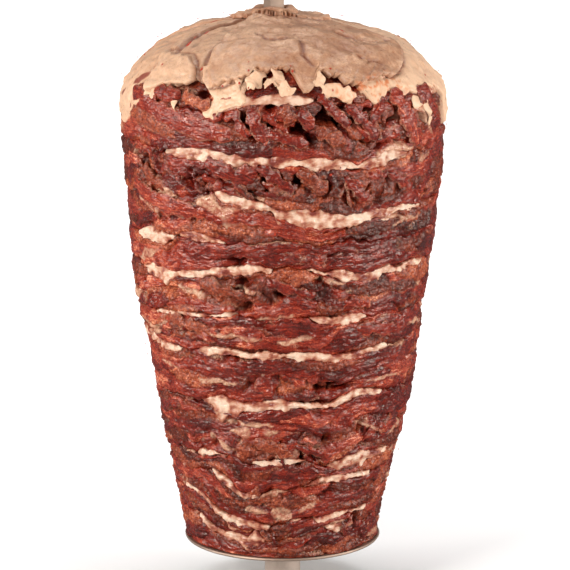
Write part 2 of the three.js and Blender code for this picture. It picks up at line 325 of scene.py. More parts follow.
# ---------------------------------------------------------------------------------------------------
# Where the meat is torn into chunks, and small streaks of fat within the tiers
# ---------------------------------------------------------------------------------------------------
# (angle, height, half width in degrees, half height, how strongly torn)
TORN = [
    (14, 441, 40, 21, 1.0), (-8, 388, 50, 13, 0.9), (-50, 380, 14, 26, 0.7), (30, 380, 22, 18, 0.8),
    (-8, 281, 30, 13, 0.95), (24, 262, 16, 9, 0.7), (-30, 236, 22, 9, 0.6), (4, 184, 22, 12, 0.6),
    (2, 118, 24, 14, 0.9), (48, 132, 14, 12, 0.7), (-42, 120, 12, 10, 0.4), (-5, 66, 16, 10, 0.5),
    (46, 30, 12, 16, 0.8), (-8, 22, 14, 10, 0.5), (62, 340, 12, 30, 0.4), (-62, 270, 10, 20, 0.5),
]
# (from angle, to angle, height at from, height at to, thickness)
STREAKS = [
    (-31, -8, 235, 232, 6), (-2, 13, 229, 233, 5), (8, 24, 297, 286, 4), (-37, -19, 185, 186, 6),
    (38, 61, 181, 184, 3), (-31, -4, 146, 143, 3), (34, 50, 143, 130, 3), (-6, 5, 48, 46, 15),
    (-20, -8, 52, 47, 7), (-35, -20, 128, 110, 8), (-52, -40, 376, 369, 12), (58, 80, 8, 12, 6),
    (52, 62, 213, 213, 5), (-78, -58, 232, 226, 8), (60, 75, 236, 232, 5), (-63, -50, 362, 350, 5),
    (-44, -30, 277, 271, 8), (-18, -8, 283, 279, 5), (44, 60, 340, 344, 4), (-72, -60, 60, 70, 5),
    (60, 76, 120, 128, 6), (8, 18, 50, 58, 3), (-60, -47, 196, 192, 3), (50, 65, 462, 425, 9),
]


# Lighter and darker parts: (angle, height, half width in degrees, half height, shift).
TONES = [
    (40, 322, 40, 20, -0.25), (-20, 322, 25, 14, -0.1), (-50, 436, 26, 18, 0.25), (4, 440, 34, 20, -0.3),
    (62, 400, 20, 60, 0.1), (-5, 392, 45, 10, -0.25), (-62, 250, 22, 120, 0.22), (-45, 275, 25, 12, 0.2),
    (10, 262, 25, 10, 0.15), (0, 195, 50, 14, -0.1), (-10, 128, 30, 12, 0.1), (50, 60, 25, 25, 0.1),
    (-10, 10, 60, 9, -0.15), (20, 20, 20, 12, -0.1),
]


def tone_shift(angle, height):
    """How much lighter or darker the meat is at a place, the same again half round."""
    shift = np.zeros(angle.shape)
    for turn in HALF_TURNS:
        for at, z, half_angle, half_height, size in TONES:
            away = np.hypot(wrapped(angle - at - turn) / half_angle, (height - z) / half_height)
            shift = shift + size * (1 - smooth(0.5, 1.2, away))
    return shift


def torn_share(angle, height, p):
    """How torn the meat is at a point: soft ellipses with a ragged rim, the same again half round."""
    ragged = layered(p, (0.45, 30, 71), (0.25, 12, 72))
    share = np.zeros(p.shape[:-1])
    for turn in HALF_TURNS:
        for at, z, half_angle, half_height, strength in TORN:
            away = np.hypot(wrapped(angle - at - turn) / half_angle, (height - z) / half_height)
            share = np.maximum(share, strength * (1 - smooth(0.7, 1.15, away + ragged)))
    return share


def streak_share(angle, height, p):
    """1 on a streak of fat and 0 off it, and between on its ragged edge, the same again half round."""
    wave = layered(p, (2.0, 18, 81), (1.2, 6, 82))
    share = np.zeros(p.shape[:-1])
    for turn in HALF_TURNS:
        for start, end, low, high, thick in STREAKS:
            along = (wrapped(angle - (start + end) / 2 - turn)) / ((end - start) / 2)
            line = (low + high) / 2 + (high - low) / 2 * np.clip(along, -1, 1)
            half = thick / 2 * np.sqrt(np.clip(1.05 - along * along, 0, 1))
            inside = half - np.abs(height + wave - line)
            share = np.maximum(share, smooth(-0.5, 0.5, inside) * (np.abs(along) < 1.02))
    return share


# For each tier from the plate up: a slice's height and length, and the share of slices that are coarse.
SLICES = [
    (7.5, 48, 0.5), (7.0, 46, 0.45), (7.0, 46, 0.4), (7.5, 44, 0.4), (8.0, 50, 0.25),
    (8.0, 55, 0.15), (8.0, 50, 0.3), (10.0, 46, 0.35), (11.5, 60, 0.08), (10.0, 46, 0.25),
    (12.0, 42, 0.45), (14.0, 46, 0.35), (12.0, 36, 0.4),
]


PITS = 47  # the draw of the noise that opens holes between torn chunks


def meat_relief(angle, height, level, tier):
    """How far the meat stands out of the stack's outline, and what colours it.

    Slices are long, flat lumps lying almost level, on a height that bends with noise; torn places are
    shorter, deeper lumps at any tilt with holes between them. On each lump runs its own grain: ridges of
    noise along it. Coarse lumps have weaker ridges and craggy noise. Everything has a fine uneven skin.
    """
    tall, long, coarse_share = SLICES[tier]
    radius = flank(angle, height)
    p = place(angle, radius, height)
    reach = 2 * math.pi * float(radius.mean())
    bend = layered(p, (5.5, (70, 70, 45), 11), (2.0, (24, 24, 14), 12), (0.9, 6, 13))
    slide = layered(p, (6.0, 30, 14), (1.5, 7, 15)) / reach * 360
    sliced, lead, ident, along, across, q = lumps(
        angle + slide, level + bend + 997 * tier, reach, long, tall, 0.13, 0.22 * tall, 21
    )
    bend_t = layered(p, (4.5, 26, 41), (2.6, 9, 42), (1.0, 4, 43))
    slide_t = layered(p, (4.0, 22, 44), (2.6, 8, 45)) / reach * 360
    pile, lead_t, ident_t, along_t, across_t, q_t = lumps(
        angle + slide_t, height + bend_t, reach, 18.0, 11.0, 1.5, 4.6, 46
    )
    pile = pile * 1.35 - (7.0 + 5.0 * smooth(340, 400, height)) * smooth(0.1, 0.45, noise(p, 15, PITS))

    torn = torn_share(angle, height, p)
    chosen = torn > 0.5
    ident = np.where(chosen, ident_t, ident)
    along, across = np.where(chosen, along_t, along), np.where(chosen, across_t, across)
    lead, q = np.where(chosen, lead_t, lead), np.where(chosen, q_t, q)
    own = chance(ident, 11)
    coarse = np.where(chance(ident, 12) < coarse_share + 0.15 * torn, 1.0, 0.0)
    grain_p = np.stack([along + own * 4000, across, own * 900], -1)
    ridges = layered(grain_p, (1.0, (16, 2.6, 9), 51), (0.5, (7, 1.7, 9), 52))
    crags = layered(p, (1.0, 5.0, 61), (0.7, 2.7, 62))
    skin = layered(p, (1.0, 9.0, 63), (1.1, (9, 9, 3.6), 67), (0.9, (5.5, 5.5, 2.6), 68))

    relief = (1 - torn) * (sliced - 2.6) + torn * (pile - 4.0)
    depth = np.maximum(-relief - 1.0, 0)
    relief = np.where(relief > 0, 3.6 * np.tanh(relief / 3.6), np.maximum(relief, -15.0))
    relief = relief + ridges * (0.6 - 0.35 * coarse) + coarse * 0.9 * crags + 0.36 * skin
    fat = streak_share(angle, height, p)
    bits = (chance(ident, 13) < 0.05) * smooth(-0.2, 0.1, noise(p, 20, 64)) * (1 - torn * 0.6)
    fat = np.maximum(fat, bits)
    relief = relief + fat * 0.5 - 1.9
    # crease is 1 on the seams where two lumps meet, and only feeds the painted shade below.
    crease = np.exp(-lead / 0.6)
    pale = (chance(ident, 14) < 0.4) * smooth(0.6, 0.9, q) * smooth(-0.1, 0.25, noise(p, 11, 65))
    looks = {
        "fat": fat,
        # painted_gap_shade: painted shade, full in pits 8 mm deep and partial along the seams between lumps.
        "painted_gap_shade": np.clip(smooth(2.0, 8.0, depth) + 0.6 * crease, 0, 1),
        "shade": chance(ident, 15) + 0.3 * noise(p, 18, 66) + tone_shift(angle, height),
        "coarse": coarse,
        "pale": pale,
        "grain": grain_p,
    }
    return relief, looks


def cap_hem(angle):
    """Height of the hem of the ring sheets at each angle."""
    hems = [point for sheet in CAP_SHEETS if sheet["name"] in RING_SHEETS for point in sheet["hem"]]
    return periodic(hems, 1, angle)


def closing_rows(angle, high, low, step):
    """Four rows that close a ring of food behind its rim: in by `step` and by DEPTH at its upper edge, and
    out again at its lower edge."""
    return np.stack([
        place(angle, flank(angle, edge) - depth, edge)
        for edge, depth in ((high, step), (high, DEPTH), (low, DEPTH), (low, step))
    ])


def meat_tier(tier, material):
    """One ring of pressed slices between two sheets: rows up its rim at the stack's outline plus
    meat_relief, leaning down where it stands out, rounded in at both edges, and closed behind."""
    angle = STATIONS
    if tier:
        low_z, low_t, _ = sheet_line(tier - 1, angle)
        low = low_z + TUCK * low_t
    else:
        low = np.full(len(angle), 0.4)
    if tier < len(STRATA):
        high_z, high_t, _ = sheet_line(tier, angle)
        high = high_z - TUCK * high_t
    else:
        high = np.full(len(angle), DOME_TOP - 30.0)
    rows = int(round(float((high - low).mean()) / ROW_STEP))
    share = np.linspace(0, 1, rows)[:, None]
    height = low + (high - low) * share
    level = share * float((high - low).mean())
    spread = np.broadcast_to(angle, height.shape)
    relief, looks = meat_relief(spread, height, level, tier)
    ends = np.minimum(height - low, high - height)
    relief = relief - 2.0 * np.exp(-ends / 1.2)
    if tier == 0:
        relief = relief + 3.2 * np.exp(-height / 9.0)
    if tier >= len(STRATA) - 1:
        hem = cap_hem(spread)
        relief = relief - 3.5 * smooth(hem - 2, hem + 5, height)
    if tier == len(STRATA):
        relief = relief * 0.7 - 6.0 * smooth(466, 476, height) - shoulder(height)
    radius = flank(spread, height)
    slope = np.clip(relief, -6, 6)
    points = place(spread, radius + relief, height - 0.32 * slope * smooth(0, 5, ends))
    ring = np.concatenate([points, closing_rows(angle, high, low, 8)])
    # The rows behind the rim take full painted_gap_shade and none of the other looks.
    for key, value in looks.items():
        inside = np.full((4,) + value.shape[1:], float(key == "painted_gap_shade"))
        looks[key] = np.concatenate([value, inside])
    faces = grid_faces(*ring.shape[:2], True, True)
    return mesh_object(f"meat_slices_{tier + 1:02d}", ring, faces, material, looks)


def fat_sheet(level, material):
    """One sheet's cut edge: rows across its thickness round the stack, with rounded lips, a ragged upper
    side and a torn, dripping lower side. Where it doesn't show, it is a thin line held back in the meat."""
    angle = STATIONS
    height, thick, show = sheet_line(level, angle)
    rows = 18
    across = np.linspace(-1, 1, rows)[:, None]
    rim = place(angle, flank(angle, height), height)
    tear = 1.0 if level < len(STRATA) - 1 else 0.3
    ragged_low = tear * layered(rim, (2.0, 17, 101 + level), (0.7, 6, 131 + level), (0.7, 2.4, 132))
    ragged_high = tear * layered(rim, (1.4, 22, 161 + level), (0.5, 6, 191 + level), (0.7, 2.4, 192))
    drip = 16.0 * np.clip(noise(rim, 14, 221 + level) - 0.42, 0, 1) * smooth(4, 9, thick) * (tear > 0.5)
    half = np.maximum(thick / 2, 0.4)
    low = height - half - show * (0.3 + ragged_low + drip)
    high = height + half + show * (0.3 + ragged_high)
    high = np.maximum(high, low + 0.6)
    z = (low + high) / 2 + (high - low) / 2 * across
    spread = np.broadcast_to(angle, z.shape)
    p = place(spread, flank(spread, z), z)
    swell = np.sqrt(np.clip(1 - np.abs(across) ** 7, 0, 1))
    stand = layered(p, (1.5, 24, 251), (1.1, 8, 252), (0.6, 3.4, 253))
    groove = 0.9 * noise(p, (16, 16, 2.8), 254)
    relief = show * (2.0 * swell + tear * (stand + groove) - 2.6 - 0.06 * (z - height)) + (1 - show) * -8.0
    points = place(spread, flank(spread, z) + relief, z)
    ring = np.concatenate([points, closing_rows(angle, high, low, 9)])
    columns = ring.shape[1]
    blood = 0.32 + 0.55 * noise(p, (22, 22, 9), 255) + 0.4 * noise(p, 6, 256) + 0.35 * np.abs(across) ** 3
    looks = {
        "blood": np.concatenate([np.clip(blood, 0, 1), np.ones((4, columns))]),
        "swell": np.concatenate([np.broadcast_to(swell, z.shape), np.zeros((4, columns))]),
    }
    faces = grid_faces(*ring.shape[:2], True, True)
    return mesh_object(f"fat_layer_{level + 1:02d}", ring, faces, material, looks)


# ---------------------------------------------------------------------------------------------------
# The cap of draped fat
# ---------------------------------------------------------------------------------------------------
def dome_point(angle, up, lift):
    """A point over the dome: up is the angle on the dome's ellipse in radians, below 0 it runs down the
    flank; lift is how far it stands off the outline."""
    over = np.maximum(up, 0)
    height = DOME_BASE + np.where(up > 0, (DOME_HEIGHT + lift) * np.sin(over), DOME_HEIGHT * up)
    base = flank(angle, np.minimum(height, DOME_BASE)) + lift
    radius = base * np.cos(over)
    points = place(angle, radius, height)
    points[..., 0] -= math.tan(BAR_LEAN) * DOME_TOP * np.sin(over) ** 2
    return points


def hem_up(height):
    """The ellipse's angle at a height, carried on straight down the flank below the dome."""
    share = (height - DOME_BASE) / DOME_HEIGHT
    return np.where(share > 0, np.arcsin(np.clip(share, 0, 1)), share)


# Draped sheets of the cap, from the lowest laid to the last. left and right are a sheet's side edges as
# (angle, height) from its top to its hem; hem is its lower edge from left to right; laid is how far it lies
# over the outline, thick its thickness there, roll the size of its rolled hem, ragged its tears, cream how
# pale it is and tall its length down the dome. The ring sheets are the ones that close the cap all round.
RING_SHEETS = ("back_right", "back_left", "left", "right")
CAP_SHEETS = [
    dict(name="back_right", cream=0.35, node="back_right", laid=-1.5, thick=3.0, roll=1.5, ragged=1.2,
         left=[(100, 530), (96, 464)], right=[(188, 530), (190, 458)],
         hem=[(96, 464), (108, 455), (120, 450), (132, 461), (146, 452), (155, 440), (165, 458), (178, 462),
              (190, 458)]),
    dict(name="back_left", cream=0.45, node="back_left", laid=-0.5, thick=3.0, roll=1.5, ragged=1.2,
         left=[(172, 530), (174, 462)], right=[(262, 530), (264, 462)],
         hem=[(174, 462), (186, 456), (200, 462), (211, 440), (218, 446), (230, 462), (246, 448), (256, 456),
              (264, 462)]),
    dict(name="left", cream=0.55, node="left", laid=-3.4, thick=3.0, roll=0.8, ragged=1.0,
         left=[(-108, 530), (-110, 458)], right=[(-14, 530), (-25, 482)],
         hem=[(-110, 458), (-98, 448), (-90, 440), (-81, 433), (-74, 428), (-68, 437), (-62, 450), (-55, 462),
              (-47, 470), (-40, 477), (-34, 482), (-25, 482)]),
    dict(name="left_fold", cream=0.75, node=None, laid=0.6, thick=3.2, roll=3.0, ragged=0.5,
         left=[(-62, 503), (-60, 492), (-55, 466)], right=[(-42, 502), (-35, 492), (-33, 482), (-36, 477)],
         hem=[(-55, 466), (-50, 470), (-46, 475), (-36, 477)]),
    dict(name="right", cream=1.0, node="right", laid=-2.0, thick=3.0, roll=1.0, ragged=1.6,
         left=[(20, 530), (29, 470)], right=[(108, 530), (106, 462)],
         hem=[(29, 470), (31, 466), (33, 457), (35, 459), (38, 465), (45, 467), (54, 464), (57, 461),
              (62, 466), (68, 468), (72, 456), (76, 432), (81, 428), (88, 446), (96, 456), (106, 462)]),
    dict(name="under", cream=0.9, node=None, laid=-1.6, thick=2.6, roll=0.3, ragged=0.7,
         left=[(-33, 497), (-31, 485), (-25, 473), (-26, 465), (-29, 458)],
         right=[(-11, 497), (-12.5, 480), (-13.5, 473), (-12, 464)],
         hem=[(-29, 458), (-28.4, 449), (-27, 446), (-25.6, 447), (-24.6, 442), (-23.4, 450), (-18.6, 457),
              (-12, 462)]),
    dict(name="front", cream=0.08, node="front", laid=1.4, thick=3.4, roll=1.0, ragged=1.6,
         left=[(-45, 531), (-34, 525), (-31, 516), (-31, 500), (-29, 487), (-25, 476)],
         right=[(66, 529), (69, 508), (61, 499), (53, 490), (47, 484)],
         hem=[(-25, 476), (-21, 479), (-18, 483), (-14, 486), (-8, 489), (-1, 493), (4, 492), (6, 485),
              (8, 471), (10, 474), (13, 486), (17, 492), (18.5, 485), (20.5, 485), (22, 489), (24, 478),
              (29, 476), (33, 480), (40, 484), (47, 484)]),
    dict(name="crown", cream=0.15, node=None, laid=2.6, thick=2.2, roll=0.6, ragged=0.35, tall=45.0,
         left=[(-178, 531.6), (-178, 528)], right=[(182, 531.6), (182, 528)],
         hem=[(-178, 528), (-120, 528.5), (-62, 530), (-30, 530.8), (0, 531), (40, 530.7), (50, 530.2),
              (66, 528.4), (90, 527), (130, 528), (182, 528)]),
]


def cap_relief(p):
    """Soft folds, lumps and a fine leathery skin, as noise of four sizes."""
    return layered(p, (1.9, 38, 301), (1.3, 17, 302), (0.6, 7, 303), (0.28, 3.2, 304))


def fold(angle, up, line, width, size):
    """A long soft ridge along a line of (angle, height) points: steep on its lower side, easy above."""
    at = np.array(sorted((float(hem_up(np.array(z))), t) for t, z in line))
    line_angle = np.interp(up, at[:, 0], at[:, 1])
    away = wrapped(angle - line_angle) * np.radians(1) * SHOULDER_RADIUS * np.cos(np.maximum(up, 0))
    lowest, highest = at[0, 0], at[-1, 0]
    inside = smooth(lowest - 0.02, lowest + 0.1, up) * (1 - smooth(highest, highest + 0.1, up))
    return size * inside * smooth(0.6, -0.6, away) * np.exp(-np.maximum(-away, 0) / width)


# Grooves on a lower sheet along the edges that lie over it, as lines of (angle, height); the material also
# paints a dark shadow line along each.
GROOVES = {
    "left": [
        [(-45, 531), (-35, 525), (-32.5, 516), (-32.5, 500), (-31, 487), (-27, 474)],
        [(-63, 505), (-53, 504), (-42, 504), (-37, 498), (-33.5, 490), (-31.5, 481), (-35, 474)],
        [(-57, 531), (-61, 523), (-55, 511), (-52, 499)],
    ],
    "under": [[(-26, 474), (-21, 477), (-18, 481), (-14, 484), (-10, 487)]],
    "right": [[(68, 527), (71, 508), (63, 498), (55, 489), (49, 483), (42, 482)]],
    "front": [
        [(-60, 529.6), (-30, 530.2), (0, 530.4), (40, 530.1), (50, 529.6), (66, 527.6)],
        [(42, 519), (47, 513), (55, 509), (64, 509)], [(36, 500), (39, 496), (43, 493)],
        [(12, 512), (10, 503), (13, 494)], [(-12, 519), (-4, 515), (6, 516)],
    ],
    "back_left": [[(190, 527), (205, 505), (200, 480)], [(235, 520), (228, 500), (240, 480)]],
    "back_right": [[(120, 520), (128, 500), (118, 478)], [(160, 525), (150, 505), (158, 484)]],
}


# Folds of a sheet: its line of (angle, height) points, its width and its height, below 0 where it sinks.
FOLDS = {
    "left": ([(-58, 531), (-62, 523), (-56, 511), (-53, 500)], 7.0, 3.2),
    "front": ([(44, 517), (40, 500), (37, 490)], 3.0, -2.2),
}
# Dents: (angle, height, half width in degrees, half height, level share of the middle, depth).
DENTS = {"front": [(54, 511, 13, 4.5, 0.7, 2.2), (38, 497, 2.0, 2.6, 0.5, 3.5)]}
# Patches of meat that show through: (angle, height, half width in degrees, half height).
STAINS = {"left": [(-64.5, 478, 2.6, 8), (-76, 460, 1.2, 5)]}
# The patch of orange oil, given the same way, and the sheets that it lies on.
OIL_PATCH = (38, 472, 14, 15)
OILY_SHEETS = ("front", "right")
# Where every sheet lies flatter, like a bell round an angle: (angle, from height, to height, drop).
FLATTER = [(75, 505, 522, 2.2), (-75, 484, 504, 2.4)]


def cap_marks(name, angle, up, base, lift):
    """Adds a sheet's own folds and dents to its lift, and gives its stains and oil, each from 0 to 1."""
    stain, oil = np.zeros(angle.shape), np.zeros(angle.shape)
    height = base[..., 2]
    if name in FOLDS:
        lift = lift + fold(angle, up, *FOLDS[name])
    for at, z, half_angle, half_height, level, depth in DENTS.get(name, []):
        away = np.hypot((angle - at) / half_angle, (height - z) / half_height)
        lift = lift - depth * (1 - smooth(level, 1.1, away))
    for at, z, half_angle, half_height in STAINS.get(name, []):
        lean = (DOME_BASE + DOME_HEIGHT * np.sin(np.maximum(up, 0)) - z) * 0.35
        away = np.hypot((angle - at - lean) / half_angle, (height - z) / half_height)
        stain = np.maximum(stain, 1 - smooth(0.75, 1.05, away + 0.3 * noise(base, 6, 305)))
    if name in OILY_SHEETS:
        at, z, half_angle, half_height = OIL_PATCH
        area = np.hypot((angle - at) / half_angle, (height - z) / half_height)
        drops = layered(base, (1.0, 5, 306), (0.5, 2.4, 307))
        oil = (1 - smooth(0.6, 1.1, area)) * smooth(0.1, 0.45, drops)
    return lift, stain, oil


def groove_share(angle, height, lines):
    """Nearness to the closest of some lines on the dome: 1 on a line, and almost 0 by 5 mm, like a bell."""
    nearest = np.full(angle.shape, 99.0)
    ring = flank(angle, np.minimum(height, DOME_TOP - 1)) * math.radians(1)
    slope = np.clip(1 + (height - DOME_BASE) / 25, 1, 3.2)
    for line in lines:
        for (a0, z0), (a1, z1) in zip(line, line[1:]):
            px, py = wrapped(angle - a0) * ring, (height - z0) * slope
            dx, dy = (a1 - a0) * ring, (z1 - z0) * slope
            t = np.clip((px * dx + py * dy) / (dx * dx + dy * dy + 1e-6), 0, 1)
            nearest = np.minimum(nearest, np.hypot(px - t * dx, py - t * dy))
    return np.exp(-((nearest / 2.2) ** 2))


def cap_sheet(sheet, material):
    """A draped sheet: a grid from the collar to the hem between two edges, its outer face lifted by
    cap_relief and rounded down to nothing at every edge, and an inner face that follows the dome."""
    left, right, hem = sheet["left"], sheet["right"], sheet["hem"]
    seed = 311 + 7 * len(sheet["name"]) + len(hem)
    reach = SHOULDER_RADIUS * math.radians(abs(right[-1][0] - left[-1][0]))
    highest = max(left[0][1], right[0][1])
    reaches_collar = highest > COLLAR_REACH
    tall = sheet.get("tall", 125.0 if reaches_collar else (highest - hem[0][1]) * 1.5)
    columns, rows = max(24, int(reach / CAP_STEP)), int(tall / CAP_STEP)
    across = np.linspace(0, 1, columns)[None, :]
    down = np.linspace(0, 1, rows)[:, None]

    hem_angle = np.linspace(left[-1][0], right[-1][0], columns)
    hem_at = place(hem_angle, SHOULDER_RADIUS, 470.0)
    hem_line = np.interp(hem_angle, [h[0] for h in hem], [h[1] for h in hem])
    hem_line = hem_line + sheet["ragged"] * layered(hem_at, (1.6, 11, seed), (1.3, 4.5, seed + 1))
    top_line = np.full(columns, COLLAR_EDGE)
    if not reaches_collar:
        top_line = hem_up(np.linspace(left[0][1], right[0][1], columns) + 2.0 * noise(hem_at, 9, seed + 2))
    up = top_line[None, :] + (hem_up(hem_line) - top_line)[None, :] * down

    def edge_angle(edge, column):
        ups = hem_up(np.array([z for _, z in edge], float))
        return np.interp(-up[:, column], -ups, [t for t, _ in edge])

    wobble_at = place(np.full(rows, left[-1][0]), SHOULDER_RADIUS, down[:, 0] * tall)
    wobble = sheet["ragged"] * layered(wobble_at, (0.8, 24, seed + 3), (0.5, 8, seed + 4))
    start = (edge_angle(left, 0) + wobble)[:, None]
    end = (edge_angle(right, -1) + wobble)[:, None]
    angle = start + (end - start) * across
    base = dome_point(angle, up, 0.0)
    narrow = np.cos(np.maximum(up, 0))
    sides = np.minimum(angle - start, end - angle) * math.radians(1) * SHOULDER_RADIUS * narrow
    if sheet["name"] == "crown":
        sides = sides + 99.0
    below = (1 - down) * tall + 0 * angle
    above = np.where(reaches_collar, 99.0, down * tall) + 0 * angle
    edge = np.minimum(np.minimum(sides, below), above)
    round_off = np.sqrt(np.clip(1 - (1 - np.clip(edge / 3.5, 0, 1)) ** 2, 0, 1))
    roll = sheet["roll"] * np.exp(-(((below - 6) / 6) ** 2)) * (0.7 + 0.6 * noise(base, 20, seed + 5))
    waves = cap_relief(base)
    bead = 0.9 * np.exp(-(((edge - 3.5) / 2.5) ** 2))
    wrinkles = 0.7 * noise(base, (9, 9, 3.5), seed + 6) * smooth(30, 5, below)
    lift = sheet["laid"] + (sheet["thick"] + roll) * round_off + waves * (0.45 + 0.55 * round_off)
    lift = lift + bead + wrinkles
    wander = base[..., 2] + 1.2 * noise(base, 12, 308) + 0.7 * noise(base, 5, 309)
    # groove sinks the sheet along these lines, and the material also paints a dark shadow line there.
    groove = groove_share(angle, wander, GROOVES.get(sheet["name"], []))
    lift = lift - 2.2 * groove
    lift, stain, oil = cap_marks(sheet["name"], angle, up, base, lift)
    height = base[..., 2]
    lift = lift * (0.3 + 0.7 * smooth(0, 0.12, down)) + 0.9 * smooth(468, 452, height) * round_off
    lift = lift - shoulder(height) - 1.3 * smooth(510, 527, height)
    for at, low, high, drop in FLATTER:
        lift = lift - drop * np.exp(-((wrapped(angle - at) / 45) ** 2)) * smooth(low, high, height)
    outer = dome_point(angle, up, lift)
    inner = dome_point(angle, up, np.minimum(lift - 0.6, sheet["laid"] - 2.5))
    points = np.concatenate([outer.reshape(-1, 3), inner.reshape(-1, 3)])
    count = rows * columns
    front = grid_faces(rows, columns, False, False)[:, ::-1]
    back = grid_faces(rows, columns, False, False, count)
    loop = np.concatenate([
        np.arange(columns), np.arange(1, rows) * columns + columns - 1,
        (rows - 1) * columns + np.arange(columns - 2, -1, -1), np.arange(rows - 2, 0, -1) * columns,
    ])
    after = np.roll(loop, -1)
    wall = np.stack([loop, after, after + count, loop + count], -1)
    looks = {
        # hollow: painted shade in the low parts of the folds.
        "rim": 1 - round_off, "hollow": np.clip(-waves / 3.0, 0, 1), "stain": stain, "oil": oil,
        # groove: painted shadow line along the edges of the sheets that lie over this one.
        "groove": groove,
        "low": sheet["cream"] + np.clip((490 - height) / 60, 0, 0.4)
        + 0.35 * (sheet["name"] == "front") * smooth(15, -25, wrapped(angle)),
    }
    looks = {key: np.concatenate([value.ravel(), np.full(count, 0.5)]) for key, value in looks.items()}
    faces = np.concatenate([front, back, wall])
    return mesh_object(f"cap_sheet_{sheet['name']}", points, faces, material, looks)


def cap_looks(like, **given):
    """What the cap's material reads at each point: nothing of any look but those given."""
    names = ("rim", "hollow", "stain", "oil", "groove", "low")
    return {name: given.get(name, 0.0) + 0 * like for name in names}


def collar(material):
    """Bunched fat round the bar: a ring whose section is a lump, gathered by waves round it."""
    columns, rows = 96, 28
    angle = np.linspace(0, 360, columns, endpoint=False)[None, :]
    turn = np.linspace(0, 2 * math.pi, rows, endpoint=False)[:, None]
    a = np.radians(angle)
    gather = 1 + 0.12 * np.sin(5 * a + 1) + 0.03 * np.sin(9 * a)
    radius = 17.0 + 6.5 * np.cos(turn) * gather
    height = DOME_TOP + 1.5 + (6.5 + 1.2 * np.sin(3 * a + 2)) * np.sin(turn)
    points = place(angle + 0 * turn, radius, height)
    points += layered(points, (0.7, 9, 321), (0.4, 4, 322))[..., None] * [1, 1, 0.6]
    points[..., 0] -= math.tan(BAR_LEAN) * DOME_TOP
    # hollow here is painted shade on the collar's underside, darkest at its bottom.
    looks = cap_looks(angle + turn, rim=0.2, hollow=0.5 - 0.5 * np.sin(turn))
    faces = grid_faces(rows, columns, True, True)[:, ::-1]
    return mesh_object("cap_collar", points, faces, material, looks)


# ---------------------------------------------------------------------------------------------------
# Loose strips: torn flaps of meat, scraps of fat and flecks of chilli
# ---------------------------------------------------------------------------------------------------
def strips(angle, height, stand, turn, roll, length, width, thick, curl, bow, surface, seed,
           rows, sides, blunt=4.0, crumple=1.0, fine=1.0):
    """Strips lying on a surface, one for each entry of the arrays. Each is a flattened tube that tapers at
    both ends like (1 - t^blunt)^0.5: t runs along it, turned by `turn` from level, v round its section. It
    rolls about its length, curls away from the surface by t^2, bows sideways by t^2 and is crumpled by
    noise, with `fine` for the share of small tears. rows and sides are its points along and round it. Gives
    the points, the faces, and at each point the way along and across, and -1 to 1 from rim to rim."""
    t = np.linspace(-1, 1, rows)[None, :, None]
    v = np.linspace(0, 2 * math.pi, sides, endpoint=False)[None, None, :]
    col = lambda value: np.asarray(value, float)[:, None, None]
    taper = np.sqrt(np.clip(1 - np.abs(t) ** blunt, 0, 1)) + 0.03
    own = col(np.arange(len(angle))) * 31.0
    spot = np.stack(np.broadcast_arrays(t * col(length) / 2, own, 0 * v), -1)
    ragged = 1 + 0.5 * noise(spot, 8.0, seed) + 0.35 * fine * noise(spot, 3.0, seed + 9)
    along = t * col(length) / 2
    side = col(width) / 2 * taper * ragged * np.cos(v) + col(bow) * t * t
    out = col(thick) / 2 * taper * np.sin(v)
    lean, tip = col(roll), col(turn)
    outward = col(stand) + out * np.cos(lean) + side * np.sin(lean) + col(curl) * t * t
    sideways = side * np.cos(lean) - out * np.sin(lean)
    around = along * np.cos(tip) - sideways * np.sin(tip)
    up = along * np.sin(tip) + sideways * np.cos(tip)
    points = surface(col(angle) + np.degrees(around / SHOULDER_RADIUS) * 1.05, col(height) + up, outward)
    bent = np.stack(
        [noise(points, 8.0, seed + k) + 0.5 * fine * noise(points, 3.0, seed + k) for k in (1, 2, 3)], -1
    )
    points = points + crumple * bent
    faces = strip_faces(len(angle), rows, sides)
    return points, faces, along + 0 * side, side + 0 * along, np.cos(v) + 0 * along


def strip_faces(count, rows, sides):
    """Faces of `count` strips: their sides, and across each end a row of quads over the even section."""
    one = grid_faces(rows, sides, False, True)
    half = np.arange(sides // 2 - 1)
    cap = np.stack([half, (sides - 1 - half) % sides, sides - 2 - half, half + 1], -1)
    last = cap[:, ::-1] + (rows - 1) * sides
    one = np.concatenate([one, cap, last])
    return (one[None] + np.arange(count)[:, None, None] * rows * sides).reshape(-1, 4)


def on_flank(angle, height, outward):
    """Points that stand `outward` off the stack's flank."""
    return place(angle, flank(angle, height) + outward, height)


def on_dome(angle, height, outward):
    """Points that stand `outward` off the dome, or off the flank below it."""
    return dome_point(angle, hem_up(np.minimum(height, DOME_TOP - 1)), outward)


def on_foot(angle, height, outward):
    """Points that stand `outward` off the foot, with lengths round it kept as on the stack's girth."""
    return place(angle * SHOULDER_RADIUS / FOOT_RADIUS, FOOT_RADIUS + outward, height)


